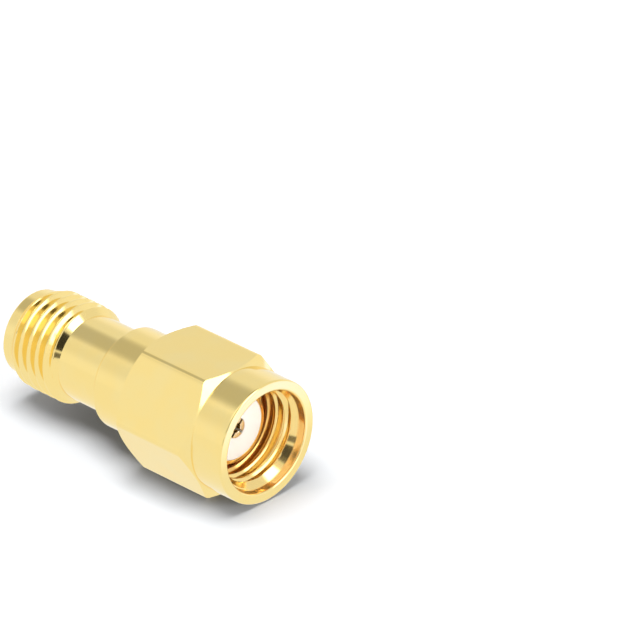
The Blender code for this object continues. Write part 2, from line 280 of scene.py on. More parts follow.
@dataclass(frozen=True)
class Thread:
    """A 60 degree right-hand thread on a stretch between two stations.

    foot_radius and tip_radius are the radii at the two ends of the stretch, from which cones with the
    slopes foot_slope and tip_slope run up to the crest. groove_station is a groove's middle at the top of
    the adapter. crest_round and root_round are the depths over which the crest and the root round off.
    """

    side: Side
    start: float
    end: float
    crest_radius: float
    depth: float
    land: float
    pitch: float
    groove_station: float
    foot_radius: float
    foot_slope: float
    tip_radius: float
    tip_slope: float
    crest_round: float
    root_round: float
    flank: float = math.radians(30)
    flank_rows: int = 9
    flat_rows: int = 4
    overrun: float = 1.1

    def rows(self, backwards: bool = False) -> list[Row]:
        """The lines along the helix, which overrun the stretch by a little more than one pitch.

        Args:
            backwards: Whether the outline runs from the end of the stretch to its start.

        Returns:
            The lines in the order of the outline.
        """
        mouth = (self.pitch - self.land) / 2
        root = mouth - self.depth * math.tan(self.flank)
        next_mouth, next_root = self.pitch - mouth, self.pitch - root
        parts = (
            (-root, root, self.flat_rows),
            (root, mouth, self.flank_rows),
            (mouth, next_mouth, self.flat_rows),
            (next_mouth, next_root, self.flank_rows),
        )
        places = [low + (high - low) * step / count for low, high, count in parts for step in range(count)]
        spare = math.ceil(self.overrun)
        first = math.floor((self.start - self.groove_station) / self.pitch) - spare
        last = math.ceil((self.end - self.groove_station) / self.pitch) + spare
        reach = self.overrun * self.pitch
        rows = []
        for number in range(first, last):
            for place in places:
                station = self.groove_station + number * self.pitch + place
                if self.start - reach < station < self.end + reach:
                    rows.append(Row(station, self.crest_radius, helix=True))
        return rows[::-1] if backwards else rows

    def sizes(self) -> dict[str, float]:
        """The sizes by the names of the lathe's inputs."""
        return {**asdict(self), "side": self.side.value}


class TurningLathe:
    """Spins rows round the axis with one Geometry Nodes tree."""

    FLOATS = (
        "sectors", "crowding", "first_turn", "front", "unit", "apothem", "corner_round", "side",
        "start", "end", "crest_radius", "depth", "land", "pitch", "flank", "crest_round", "root_round",
        "groove_station", "foot_radius", "foot_slope", "tip_radius", "tip_slope",
    )
    MARKS = ("hexed", "swell", "helix")
    COLUMN_SLACK = 1e-5
    # A piece without a thread takes its thread's sizes from here, where nothing divides by zero.
    DEFAULTS = {
        "columns": 192,
        "sectors": HEX_SIDES,
        "first_turn": -0.5 / HEX_SIDES,
        "unit": MM,
        "apothem": 1.0,
        "side": 1.0,
        "crest_radius": 1.0,
        "pitch": 1.0,
        "flank": math.radians(30),
        "crest_round": 0.1,
        "root_round": 0.1,
    }

    def __init__(self, front: float) -> None:
        """Builds the tree.

        Args:
            front: X of the front face of the nut, in millimetres.
        """
        self.front = front
        self.tree = bpy.data.node_groups.new("turning_lathe", "GeometryNodeTree")
        interface = self.tree.interface
        interface.new_socket("rows", in_out="INPUT", socket_type="NodeSocketGeometry")
        interface.new_socket("columns", in_out="INPUT", socket_type="NodeSocketInt")
        for name in self.FLOATS:
            interface.new_socket(name, in_out="INPUT", socket_type="NodeSocketFloat")
        interface.new_socket("finish", in_out="INPUT", socket_type="NodeSocketMaterial")
        interface.new_socket("surface", in_out="OUTPUT", socket_type="NodeSocketGeometry")
        self._wire_up(Graph(self.tree))

    def _wire_up(self, graph: Graph) -> None:
        """Adds the nodes: a grid with a line for each row, which is then bent round the axis."""
        entry = graph.node("NodeGroupInput")
        given = {socket.name: Wire(graph, socket) for socket in entry.outputs if socket.name}
        rows = given["rows"]
        row_count = graph.wire("GeometryNodeAttributeDomainSize", {"component": "MESH"}, _0=rows)
        columns = given["columns"] + 1.0
        grid = graph.wire("GeometryNodeMeshGrid", Vertices_X=row_count, Vertices_Y=columns)
        index = graph.wire("GeometryNodeInputIndex") + 0.0
        row = graph.maths("FLOOR", (index + 0.5) / columns)
        column = index - row * columns

        place = self._sampled(graph, rows, row, "FLOAT_VECTOR", graph.wire("GeometryNodeInputPosition"))
        station, radius = (graph.axis(name, place) for name in "XY")
        marks = []
        for name in self.MARKS:
            mark = graph.wire("GeometryNodeInputNamedAttribute", {"data_type": "FLOAT"}, Name=name)
            marks.append(self._sampled(graph, rows, row, "FLOAT", mark))
        hexed, swell, helix = marks

        turn = self._turn(graph, given, column)
        hexagon = self._hexagon(graph, given, turn)
        flat_station = station + hexed * swell * (hexagon - radius)
        flat_radius = graph.fade(hexed, radius, hexagon)
        thread_station, thread_radius = self._thread(graph, given, turn, station)
        final_station = graph.fade(helix, flat_station, thread_station)
        final_radius = graph.fade(helix, flat_radius, thread_radius)

        angle = turn * math.tau
        unit = given["unit"]
        spot = graph.wire(
            "ShaderNodeCombineXYZ",
            _0=(given["front"] - final_station) * unit,
            _1=final_radius * graph.maths("SINE", angle) * unit,
            _2=final_radius * graph.maths("COSINE", angle) * unit,
        )
        bent = graph.wire("GeometryNodeSetPosition", Geometry=grid, Position=spot)
        welded = graph.wire("GeometryNodeMergeByDistance", Geometry=bent, Distance=WELD_DISTANCE)
        real = graph.wire("GeometryNodeRealizeInstances", Geometry=welded)
        dressed = graph.wire("GeometryNodeSetMaterial", Geometry=real, Material=given["finish"])
        graph.node("NodeGroupOutput", _0=dressed)

    @staticmethod
    def _sampled(graph: Graph, rows: Wire, row: Wire, kind: str, value: Wire) -> Wire:
        """A value of the row that a grid point belongs to."""
        settings = {"data_type": kind, "domain": "POINT"}
        return graph.wire("GeometryNodeSampleIndex", settings, Geometry=rows, Value=value, Index=row)

    @classmethod
    def _turn(cls, graph: Graph, given: dict[str, Wire], column: Wire) -> Wire:
        """The share of a turn at a column. Crowding packs the columns at the corners of the sectors."""
        along = column / given["columns"] * given["sectors"]
        sector = graph.maths("FLOOR", along + cls.COLUMN_SLACK)
        within = along - sector
        packed = within - given["crowding"] * graph.maths("SINE", within * math.tau) / math.tau
        return (sector + packed) / given["sectors"] + given["first_turn"]

    @staticmethod
    def _hexagon(graph: Graph, given: dict[str, Wire], turn: Wire) -> Wire:
        """The radius of a hexagon with rounded corners and flats up and down."""
        apothem, rounding = given["apothem"], given["corner_round"]
        across = turn * HEX_SIDES + 0.5
        aside = graph.maths("ABSOLUTE", across - graph.maths("FLOOR", across) - 0.5) * (2 * HALF_FLAT)
        flat = apothem / graph.maths("COSINE", aside)
        centre = (apothem - rounding) / math.cos(HALF_FLAT)
        from_corner = HALF_FLAT - aside
        off_line = centre * graph.maths("SINE", from_corner)
        bulge = graph.maths("MAXIMUM", rounding * rounding - off_line * off_line, 0.0)
        rounded = centre * graph.maths("COSINE", from_corner) + graph.maths("SQRT", bulge)
        start = graph.maths("ARCTAN2", centre * math.sin(HALF_FLAT), apothem)
        in_corner = graph.maths("GREATER_THAN", aside, start)
        return graph.fade(in_corner, flat, rounded)

    @staticmethod
    def _thread(graph: Graph, given: dict[str, Wire], turn: Wire, station: Wire) -> tuple[Wire, Wire]:
        """The station and radius of a point on the thread's rows."""
        start, end, pitch, side = (given[name] for name in ("start", "end", "pitch", "side"))
        here = graph.maths("MINIMUM", graph.maths("MAXIMUM", station + pitch * turn, start), end)
        grooves = (here - given["groove_station"]) / pitch - turn
        number = graph.maths("FLOOR", grooves + 0.5)
        off_middle = graph.maths("ABSOLUTE", grooves - number) * pitch
        mouth = (pitch - given["land"]) / 2.0
        sunk = (mouth - off_middle) / graph.maths("TANGENT", given["flank"])
        below_crest = graph.maths("SMOOTH_MAX", sunk, 0.0, given["crest_round"])
        groove = graph.maths("SMOOTH_MIN", below_crest, given["depth"], given["root_round"])
        foot = side * given["foot_radius"] + (here - start) * given["foot_slope"]
        tip = side * given["tip_radius"] + (end - here) * given["tip_slope"]
        envelope = graph.maths("MINIMUM", foot, tip)
        return here, side * graph.maths("MINIMUM", envelope, side * given["crest_radius"] - groove)

    def spin(self, name: str, rows: list[Row], finish: Material, **sizes: float) -> Piece:
        """Spins rows into a closed mesh.

        Args:
            name: The piece's name.
            rows: The rings and helix lines, in order round the section.
            finish: The piece's material.
            **sizes: Inputs of the tree by name. Names that it doesn't have are left out.

        Returns:
            The piece, as a plain mesh in the frame's place.
        """
        piece = self._row_object(name, rows)
        modifier = piece.modifiers.new("lathe", "NODES")
        modifier.node_group = self.tree
        values = {**self.DEFAULTS, "front": self.front, "finish": finish, **sizes}
        for item in self.tree.interface.items_tree:
            if item.in_out == "INPUT" and item.name in values:
                modifier[item.identifier] = values[item.name]
        plain_mesh(piece, finish)
        return piece

    @classmethod
    def _row_object(cls, name: str, rows: list[Row]) -> Piece:
        """A string of points, one for each row, that carries the rows' values."""
        mesh = bpy.data.meshes.new(name)
        links = [(index, index + 1) for index in range(len(rows) - 1)]
        mesh.from_pydata([(row.station, row.radius, 0.0) for row in rows], links, [])
        for key in cls.MARKS:
            attribute = mesh.attributes.new(key, "FLOAT", "POINT")
            attribute.data.foreach_set("value", [float(getattr(row, key)) for row in rows])
        return add_object(name, mesh)


def add_object(name: str, data: bpy.types.ID) -> Piece:
    """Puts a mesh, a camera or a lamp into the scene as an object."""
    item = bpy.data.objects.new(name, data)
    bpy.context.scene.collection.objects.link(item)
    return item


def add_shape(name: str, shape: bmesh.types.BMesh) -> Piece:
    """Puts an edited shape into the scene as an object and frees it."""
    mesh = bpy.data.meshes.new(name)
    shape.to_mesh(mesh)
    shape.free()
    return add_object(name, mesh)


def plain_mesh(piece: Piece, finish: Material) -> None:
    """Turns a piece with modifiers into a plain closed mesh with its faces outwards.

    Args:
        piece: The object, whose modifiers are used up.
        finish: Its material.
    """
    bpy.context.view_layer.update()
    result = bpy.data.meshes.new_from_object(piece.evaluated_get(bpy.context.evaluated_depsgraph_get()))
    piece.modifiers.clear()
    old = piece.data
    piece.data = result
    bpy.data.meshes.remove(old)
    result.name = piece.name
    shape = bmesh.new()
    shape.from_mesh(result)
    bmesh.ops.dissolve_degenerate(shape, edges=shape.edges, dist=SHORTEST_EDGE)
    bmesh.ops.recalc_face_normals(shape, faces=shape.faces)
    loose = sum(1 for edge in shape.edges if not edge.is_manifold)
    if loose:
        LOG.warning("%s has %d open edges", piece.name, loose)
    shape.to_mesh(result)
    shape.free()
    result.materials.clear()
    result.materials.append(finish)
    result.shade_smooth()
    result.set_sharp_from_angle(angle=SHARP_EDGE)


@dataclass(frozen=True, kw_only=True)
class Finish:
    """A material made of nodes on the piece's own Object coordinates, in millimetres.

    Its colour goes over to second_colour in soft clouds, across the cloud_span of their noise.
    """

    colour: Triple
    second_colour: Triple
    roughness: float
    relief: float
    bump_strength: float
    cloud_scale: float
    cloud_span: Span = (0.3, 0.7)

    def material(self, name: str) -> Material:
        """Makes the material."""
        material = bpy.data.materials.new(name)
        material.use_nodes = True
        graph = Graph(material.node_tree)
        place = graph.wire("ShaderNodeTexCoord", out="Object")
        scaled = graph.wire("ShaderNodeVectorMath", {"operation": "SCALE"}, _0=place, Scale=1 / MM)
        graph.node("ShaderNodeOutputMaterial", Surface=self.dress(graph, scaled))
        return material

    def dress(self, graph: Graph, place: Wire) -> Wire:
        """Adds the shader and what feeds it."""
        raise NotImplementedError

    @staticmethod
    def stretched(graph: Graph, place: Wire, along: float, across: float) -> Wire:
        """Coordinates scaled differently along the axis and across it."""
        scales = (along, across, across)
        return graph.wire("ShaderNodeVectorMath", {"operation": "MULTIPLY"}, _0=place, _1=scales)

    def from_axis(self, graph: Graph, place: Wire) -> Wire:
        """The distance from the adapter's axis."""
        flat_place = self.stretched(graph, place, 0.0, 1.0)
        return graph.wire("ShaderNodeVectorMath", {"operation": "LENGTH"}, out="Value", _0=flat_place)

    @staticmethod
    def noise(graph: Graph, place: Wire, scale: float, detail: float = 3.0) -> Wire:
        """A noise of about 0 to 1."""
        return graph.wire("ShaderNodeTexNoise", Vector=place, Scale=scale, Detail=detail)

    def clouded(self, graph: Graph, clouds: Wire) -> Wire:
        """The surface's colour over the noise of its clouds."""
        return graph.blend(graph.ease(clouds, *self.cloud_span), self.colour, self.second_colour)

    def bumpy(self, graph: Graph, height: Wire) -> Wire:
        """The normal of a surface with a fine relief."""
        distance = self.relief * MM
        return graph.wire("ShaderNodeBump", Strength=self.bump_strength, Distance=distance, Height=height)


@dataclass(frozen=True)
class PaintedBoreShade:
    """Painted shade and painted reflection inside the nut's mouth: there the plate's colour is made a
    deeper orange and less metallic, standing for the warm light that gold throws on gold and for the shade
    of the recess.

    Each pair gives the place where the painted shade is off and the one where it is full, as a radius or as
    a station. On the thread only a share of it holds, thread_share.
    """

    colour: Triple = (0.97, 0.6, 0.18)
    metallic: float = 0.78
    front: float = 9.91
    radius: Span = (3.33, 3.3)
    mouth: Span = (0.05, 0.11)
    rear: Span = (5.2, 5.1)
    thread_start: Span = (0.55, 0.65)
    thread_end: Span = (2.6, 2.35)
    thread_share: float = 0.25


@dataclass(frozen=True, kw_only=True)
class PolishedPlate(Finish):
    """Bright metal plate over turned brass: fine turning lines and faint clouds in a polished surface."""

    roughness_swing: float
    # Painted shade and painted reflection inside the nut's mouth, if any.
    bore: PaintedBoreShade | None = None
    bump_strength: float = 0.5
    cloud_scale: float = 0.45
    cloud_span: Span = (0.35, 0.7)
    cloud_share: float = 0.6
    speck_scale: float = 9.0
    speck_share: float = 0.4
    speck_height: float = 0.15
    line_scales: Span = (22.0, 0.35)
    line_detail: float = 2.0

    def dress(self, graph: Graph, place: Wire) -> Wire:
        """Adds the plate's shader."""
        clouds = self.noise(graph, place, self.cloud_scale)
        lines = self.noise(graph, self.stretched(graph, place, *self.line_scales), 1.0, self.line_detail)
        specks = self.noise(graph, place, self.speck_scale)
        colour = self.clouded(graph, clouds)
        metallic: Value = 1.0
        # Painted shade: inside the nut's mouth the colour turns a deeper orange and the metal duller,
        # standing for gold mirrored in gold and the recess's shade.
        if self.bore:
            inside = self._inside(graph, place, self.bore)
            colour = graph.blend(inside, colour, self.bore.colour)
            metallic = graph.fade(inside, 1.0, self.bore.metallic)
        uneven = self.cloud_share * clouds + self.speck_share * specks - 0.5
        return graph.wire(
            "ShaderNodeBsdfPrincipled",
            Base_Color=colour,
            Metallic=metallic,
            Roughness=self.roughness + self.roughness_swing * uneven,
            Normal=self.bumpy(graph, lines + self.speck_height * specks),
        )

    def _inside(self, graph: Graph, place: Wire, bore: PaintedBoreShade) -> Wire:
        """How strongly the painted shade of the bore holds at a place."""
        station = bore.front - graph.axis("X", place)
        within = graph.ease(self.from_axis(graph, place), *bore.radius)
        ahead = graph.ease(station, *bore.mouth)
        behind = graph.ease(station, *bore.rear)
        threaded = graph.ease(station, *bore.thread_start) * graph.ease(station, *bore.thread_end)
        return within * ahead * behind * graph.fade(threaded, 1.0, bore.thread_share)


@dataclass(frozen=True, kw_only=True)
class Insulation(Finish):
    """White fluoropolymer: waxy, slightly see-through, with the rings of the turning tool."""

    relief: float = 0.004
    bump_strength: float = 0.3
    cloud_scale: float = 0.8
    grain_scale: float = 14.0
    grain_swing: float = 0.1
    ring_pitch: float = 0.09
    ring_share: float = 0.5
    glow: float = 0.25
    glow_reach: Triple = (1.0, 0.75, 0.6)
    glow_depth: float = 0.5

    def dress(self, graph: Graph, place: Wire) -> Wire:
        """Adds the insulation's shader."""
        clouds = self.noise(graph, place, self.cloud_scale)
        grain = self.noise(graph, place, self.grain_scale)
        rings = graph.maths("SINE", self.from_axis(graph, place) * (math.tau / self.ring_pitch))
        return graph.wire(
            "ShaderNodeBsdfPrincipled",
            Base_Color=self.clouded(graph, clouds),
            Roughness=self.roughness + self.grain_swing * grain,
            Subsurface_Weight=self.glow,
            Subsurface_Radius=self.glow_reach,
            Subsurface_Scale=self.glow_depth * MM,
            Normal=self.bumpy(graph, grain + self.ring_share * rings),
        )


@dataclass(frozen=True, kw_only=True)
class SoftRubber(Finish):
    """Moulded silicone: even colour, matt, with a fine grain."""

    relief: float = 0.01
    bump_strength: float = 0.4
    cloud_scale: float = 1.3
    grain_scale: float = 20.0
    grain_swing: float = 0.12

    def dress(self, graph: Graph, place: Wire) -> Wire:
        """Adds the rubber's shader."""
        clouds = self.noise(graph, place, self.cloud_scale)
        grain = self.noise(graph, place, self.grain_scale)
        return graph.wire(
            "ShaderNodeBsdfPrincipled",
            Base_Color=self.clouded(graph, clouds),
            Roughness=self.roughness + self.grain_swing * grain,
            Normal=self.bumpy(graph, grain),
        )


@dataclass(frozen=True)
class ThreadStandard:
    """The 1/4-36 thread of both ends: sizes as shares of the pitch."""

    pitch: float = 25.4 / 36
    major_radius: float = 3.175
    external_depth: float = 0.6134
    external_land: float = 0.125
    internal_depth: float = 0.5413
    internal_land: float = 0.25
    nut_clearance: float = 0.03


@dataclass
class Shop:
    """What every sub-assembly is made with: the lathe, the thread and the finishes by slot."""

    lathe: TurningLathe
    thread: ThreadStandard
    finishes: dict[Slot, Material]


@dataclass
class SubAssembly:
    """A group of pieces that ride on one body."""

    shop: Shop

    def fit(self, piece: Piece, body: Body, node: str, slot: Slot) -> None:
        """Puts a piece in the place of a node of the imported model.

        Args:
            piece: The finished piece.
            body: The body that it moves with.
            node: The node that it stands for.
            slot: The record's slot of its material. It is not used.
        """
        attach(piece, body.value)
        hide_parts(node)
        LOG.info("%s: %d faces, on %s", piece.name, len(piece.data.polygons), body.value)


@dataclass
class CouplingNut(SubAssembly):
    """The hexagonal nut with its round nose, threaded mouth and the bore that runs on the body."""

    length: float = 8.52
    across_flats: float = 8.0
    corner_round: float = 0.45
    nose_radius: float = 3.92
    nose_length: float = 2.42
    front_taper: float = math.radians(56)
    rear_taper: float = math.radians(51)
    rear_face_radius: float = 3.95
    mouth_radius: float = 3.25
    mouth_depth: float = 0.57
    mouth_taper: float = math.radians(41)
    thread_end: float = 4.85
    bore_radius: float = 3.3
    groove_radius: float = 3.62
    groove_front: float = 6.55
    groove_rear: float = 7.25
    countersink_radius: float = 3.5
    countersink_depth: float = 0.35
    countersink_round: float = 0.04
    rim_round: float = 0.13
    edge_round: float = 0.14
    thread_crest_round: float = 0.08
    thread_root_round: float = 0.12
    columns: int = 288
    crowding: float = 0.93

    def build(self) -> None:
        """Makes the nut."""
        standard = self.shop.thread
        major = standard.major_radius + standard.nut_clearance
        minor = major - standard.internal_depth * standard.pitch
        thread = Thread(
            side=Side.INSIDE,
            start=self.mouth_depth,
            end=self.thread_end,
            crest_radius=minor,
            depth=major - minor,
            land=standard.internal_land * standard.pitch,
            pitch=standard.pitch,
            groove_station=self.mouth_depth - standard.pitch / 2,
            foot_radius=self.mouth_radius,
            foot_slope=math.tan(self.mouth_taper),
            tip_radius=minor,
            tip_slope=0.0,
            crest_round=self.thread_crest_round,
            root_round=self.thread_root_round,
        )
        before = Outline(self._outside()).rows()
        inside = Outline(self._behind_thread()).rows()
        mouth = Outline(self._mouth()).rows()
        nut = self.shop.lathe.spin(
            "coupling_nut_turned",
            before + inside + thread.rows(backwards=True) + mouth,
            self.shop.finishes[Slot.GOLD_PLATE],
            **thread.sizes(),
            columns=self.columns,
            crowding=self.crowding,
            apothem=self.across_flats / 2,
            corner_round=self.corner_round,
        )
        self.fit(nut, Body.NUT, "coupling_nut", Slot.GOLD_PLATE)

    def _outside(self) -> tuple[Corner, ...]:
        """The outside, from the middle of the front face to the rear face."""
        rim = (self.mouth_radius + self.nose_radius) / 2
        return (
            Corner(0.0, rim),
            Corner(0.0, self.nose_radius, self.rim_round),
            Corner(self.nose_length, self.nose_radius),
            Corner(self.nose_length, self.nose_radius, hexed=True, swell=1 / math.tan(self.front_taper)),
            Corner(self.length, self.rear_face_radius, hexed=True, swell=-1 / math.tan(self.rear_taper)),
            Corner(self.length, self.rear_face_radius),
        )

    def _behind_thread(self) -> tuple[Corner, ...]:
        """The rear face, the countersink and the bore with the ring's groove."""
        return (
            Corner(self.length, self.rear_face_radius),
            Corner(self.length, self.countersink_radius, self.countersink_round),
            Corner(self.length - self.countersink_depth, self.bore_radius, self.countersink_round),
            Corner(self.groove_rear, self.bore_radius),
            Corner(self.groove_rear, self.groove_radius),
            Corner(self.groove_front, self.groove_radius),
            Corner(self.groove_front, self.bore_radius),
            Corner(self.thread_end, self.bore_radius),
        )

    def _mouth(self) -> tuple[Corner, ...]:
        """The smooth mouth in front of the thread, back to the middle of the front face."""
        rim = (self.mouth_radius + self.nose_radius) / 2
        return (
            Corner(self.mouth_depth, self.mouth_radius),
            Corner(0.0, self.mouth_radius, self.edge_round),
            Corner(0.0, rim),
        )


@dataclass
class AdapterBody(SubAssembly):
    """The turned body: ferrule, shoulder, barrel with the visible collar, neck and threaded jack."""

    length: float = 19.82
    ferrule_recess: float = 2.5
    ferrule_radius: float = 2.285
    seat_radius: float = 2.05
    shoulder_front: float = 4.95
    shoulder_radius: float = 2.75
    barrel_front: float = 5.4
    collar_radius: float = 3.22
    collar_end: float = 11.78
    collar_chamfer: float = 0.42
    groove_radius: float = 2.79
    groove_front: float = 6.6
    groove_rear: float = 7.2
    neck_radius: float = 2.69
    neck_end: float = 14.97
    groove_lead: float = 0.0706
    thread_crest_round: float = 0.04
    thread_root_round: float = 0.14
    taper_length: float = 0.7
    nose_length: float = 0.75
    nose_radius: float = 2.73
    bore_radius: float = 2.33
    bore_depth: float = 1.85
    web_front: float = 10.0
    web_rear: float = 11.24
    web_radius: float = 1.46
    nose_round: float = 0.15
    edge_round: float = 0.06
    fine_round: float = 0.03
    root_round: float = 0.02
    columns: int = 264

    @property
    def reference(self) -> float:
        """The station of the jack's reference plane, at the bottom of its bore."""
        return self.length - self.bore_depth

    def build(self) -> None:
        """Makes the body."""
        standard = self.shop.thread
        nose_front = self.length - self.nose_length
        thread = Thread(
            side=Side.OUTSIDE,
            start=self.neck_end,
            end=nose_front,
            crest_radius=standard.major_radius,
            depth=standard.external_depth * standard.pitch,
            land=standard.external_land * standard.pitch,
            pitch=standard.pitch,
            groove_station=self.neck_end - self.groove_lead,
            foot_radius=self.neck_radius,
            foot_slope=1.0,
            tip_radius=self.nose_radius,
            tip_slope=(standard.major_radius - self.nose_radius) / self.taper_length,
            crest_round=self.thread_crest_round,
            root_round=self.thread_root_round,
        )
        ahead = Outline(self._ahead_of_thread()).rows()
        behind = Outline(self._behind_thread(nose_front)).rows()
        body = self.shop.lathe.spin(
            "adapter_body_turned",
            ahead + thread.rows() + behind,
            self.shop.finishes[Slot.GOLD_PLATE],
            **thread.sizes(),
            columns=self.columns,
        )
        self.fit(body, Body.ADAPTER, "adapter_body", Slot.GOLD_PLATE)

    def _ahead_of_thread(self) -> tuple[Corner, ...]:
        """From the middle of the ferrule's front face to the end of the neck."""
        return (
            Corner(self.ferrule_recess, (self.ferrule_radius + self.seat_radius) / 2),
            Corner(self.ferrule_recess, self.ferrule_radius, self.edge_round),
            Corner(self.shoulder_front, self.ferrule_radius),
            Corner(self.shoulder_front, self.shoulder_radius, self.edge_round),
            Corner(self.barrel_front, self.shoulder_radius),
            Corner(self.barrel_front, self.collar_radius, self.edge_round),
            Corner(self.groove_front, self.collar_radius),
            Corner(self.groove_front, self.groove_radius),
            Corner(self.groove_rear, self.groove_radius),
            Corner(self.groove_rear, self.collar_radius),
            Corner(self.collar_end - self.collar_chamfer, self.collar_radius, self.edge_round),
            Corner(self.collar_end, self.collar_radius - self.collar_chamfer, self.fine_round),
            Corner(self.collar_end, self.neck_radius, self.root_round),
            Corner(self.neck_end, self.neck_radius),
        )

    def _behind_thread(self, nose_front: float) -> tuple[Corner, ...]:
        """The nose of the jack, its bore, the seats and the web, back to the ferrule's face."""
        return (
            Corner(nose_front, self.nose_radius),
            Corner(self.length, self.nose_radius, self.nose_round),
            Corner(self.length, self.bore_radius, self.edge_round),
            Corner(self.reference, self.bore_radius),
            Corner(self.reference, self.seat_radius),
            Corner(self.web_rear, self.seat_radius),
            Corner(self.web_rear, self.web_radius),
            Corner(self.web_front, self.web_radius),
            Corner(self.web_front, self.seat_radius),
            Corner(self.ferrule_recess, self.seat_radius, self.fine_round),
            Corner(self.ferrule_recess, (self.ferrule_radius + self.seat_radius) / 2),
        )


@dataclass
class Insides(SubAssembly):
    """What the body holds: both insulators, the centre contact, the gasket and the retaining ring."""

    body: AdapterBody
    insulator_radius: float = 2.035
    insulator_rounds: Span = (0.03, 0.02)
    seat_clearance: float = 0.02
    press_clearance: float = 0.015
    gasket_rear: float = 4.93
    gasket_width: float = 0.5
    gasket_radius: float = 2.7
    gasket_rounds: Span = (0.1, 0.03)
    ring_front: float = 6.65
    ring_width: float = 0.5
    ring_inner_radius: float = 2.86
    ring_outer_radius: float = 3.55
    ring_round: float = 0.08
    ring_opening: float = math.radians(18)
    ring_steps: int = 144
    contact_radius: float = 0.635
    contact_round: float = 0.04
    contact_collar_radius: float = 0.95
    contact_columns: int = 96
    socket_radius: float = 0.45
    socket_round: float = 0.05
    finger_opening: float = 0.29
    finger_tip: float = 0.3
    socket_depth: float = 2.6
    socket_point: float = math.radians(59)
    slot_width: float = 0.16
    slot_length: float = 2.2
    slots: int = 2

    def build(self) -> None:
        """Makes the pieces inside the body."""
        plug_rear = self.body.web_front - self.seat_clearance
        jack_front = self.body.web_rear + self.seat_clearance
        self._insulator("plug_insulator", "plug_dielectric", self.body.ferrule_recess, plug_rear)
        self._insulator("jack_insulator", "jack_dielectric", jack_front, self.body.reference)
        self._gasket()
        self._retaining_ring()
        self._contact()

    @staticmethod
    def _sleeve(front: float, rear: float, bore: float, radius: float, rounds: Span) -> list[Row]:
        """The rows of a plain sleeve, with the roundings of its outer and its inner edges."""
        middle = (bore + radius) / 2
        outer, inner = rounds
        corners = (
            Corner(front, middle),
            Corner(front, radius, outer),
            Corner(rear, radius, outer),
            Corner(rear, bore, inner),
            Corner(front, bore, inner),
            Corner(front, middle),
        )
        return Outline(corners).rows()

    def _insulator(self, name: str, node: str, front: float, rear: float) -> None:
        """A sleeve of insulation between two stations."""
        bore = self.contact_radius + self.press_clearance
        rows = self._sleeve(front, rear, bore, self.insulator_radius, self.insulator_rounds)
        piece = self.shop.lathe.spin(name, rows, self.shop.finishes[Slot.PTFE])
        self.fit(piece, Body.ADAPTER, node, Slot.PTFE)

    def _gasket(self) -> None:
        """The flat ring of silicone round the ferrule."""
        front = self.gasket_rear - self.gasket_width
        bore = self.body.ferrule_radius + self.seat_clearance
        rows = self._sleeve(front, self.gasket_rear, bore, self.gasket_radius, self.gasket_rounds)
        piece = self.shop.lathe.spin("sealing_gasket_moulded", rows, self.shop.finishes[Slot.SILICONE])
        self.fit(piece, Body.ADAPTER, "sealing_gasket", Slot.SILICONE)

    def _retaining_ring(self) -> None:
        """The open spring ring: a rolled strip with rounded edges."""
        front, rear = self.ring_front, self.ring_front + self.ring_width
        inner, outer = self.ring_inner_radius, self.ring_outer_radius
        spots = ((front, inner), (front, outer), (rear, outer), (rear, inner))
        rows = Outline(tuple(Corner(*spot, self.ring_round) for spot in spots), closed=True).rows()
        points = [((self.shop.lathe.front - row.station) * MM, 0.0, row.radius * MM) for row in rows]
        strip = bmesh.new()
        section = strip.faces.new([strip.verts.new(point) for point in points])
        bmesh.ops.spin(
            strip,
            geom=[section],
            cent=(0.0, 0.0, 0.0),
            axis=(1.0, 0.0, 0.0),
            dvec=(0.0, 0.0, 0.0),
            angle=math.tau - self.ring_opening,
            steps=self.ring_steps,
        )
        piece = add_shape("retaining_ring_rolled", strip)
        plain_mesh(piece, self.shop.finishes[Slot.SPRING_BRONZE])
        self.fit(piece, Body.ADAPTER, "retaining_ring", Slot.SPRING_BRONZE)

    def _contact(self) -> None:
        """The centre contact, turned and then slotted at both ends."""
        front, rear = self.body.ferrule_recess, self.body.reference
        tip = self.socket_radius / math.tan(self.socket_point)
        collar_front = self.body.web_front + self.seat_clearance
        collar_rear = self.body.web_rear - self.seat_clearance
        corners = (
            Corner(front + self.socket_depth + tip, 0.0),
            Corner(front + self.socket_depth, self.socket_radius),
            Corner(front + 2 * self.finger_tip, self.socket_radius),
            Corner(front + self.finger_tip, self.finger_opening),
            Corner(front, self.finger_opening, self.socket_round),
            Corner(front, self.contact_radius, self.contact_round),
            Corner(collar_front, self.contact_radius),
            Corner(collar_front, self.contact_collar_radius, self.contact_round),
            Corner(collar_rear, self.contact_collar_radius, self.contact_round),
            Corner(collar_rear, self.contact_radius),
            Corner(rear, self.contact_radius, self.contact_round),
            Corner(rear, self.socket_radius, self.socket_round),
            Corner(rear - self.socket_depth, self.socket_radius),
            Corner(rear - self.socket_depth - tip, 0.0),
        )
        finish = self.shop.finishes[Slot.CONTACT_GOLD]
        rows = Outline(corners).rows()
        contact = self.shop.lathe.spin("centre_contact_turned", rows, finish, columns=self.contact_columns)
        cutters = []
        for mouth, inward in ((front, 1), (rear, -1)):
            middle = mouth + inward * (self.slot_length - self.slot_width) / 2
            for number in range(self.slots):
                cutters.append(self._slot_cutter(middle, math.pi * (number + 0.5) / self.slots))
        for cutter in cutters:
            modifier = contact.modifiers.new("slot", "BOOLEAN")
            modifier.solver = "EXACT"
            modifier.object = cutter
        plain_mesh(contact, finish)
        for cutter in cutters:
            bpy.data.objects.remove(cutter)
        self.fit(contact, Body.ADAPTER, "centre_contact", Slot.CONTACT_GOLD)

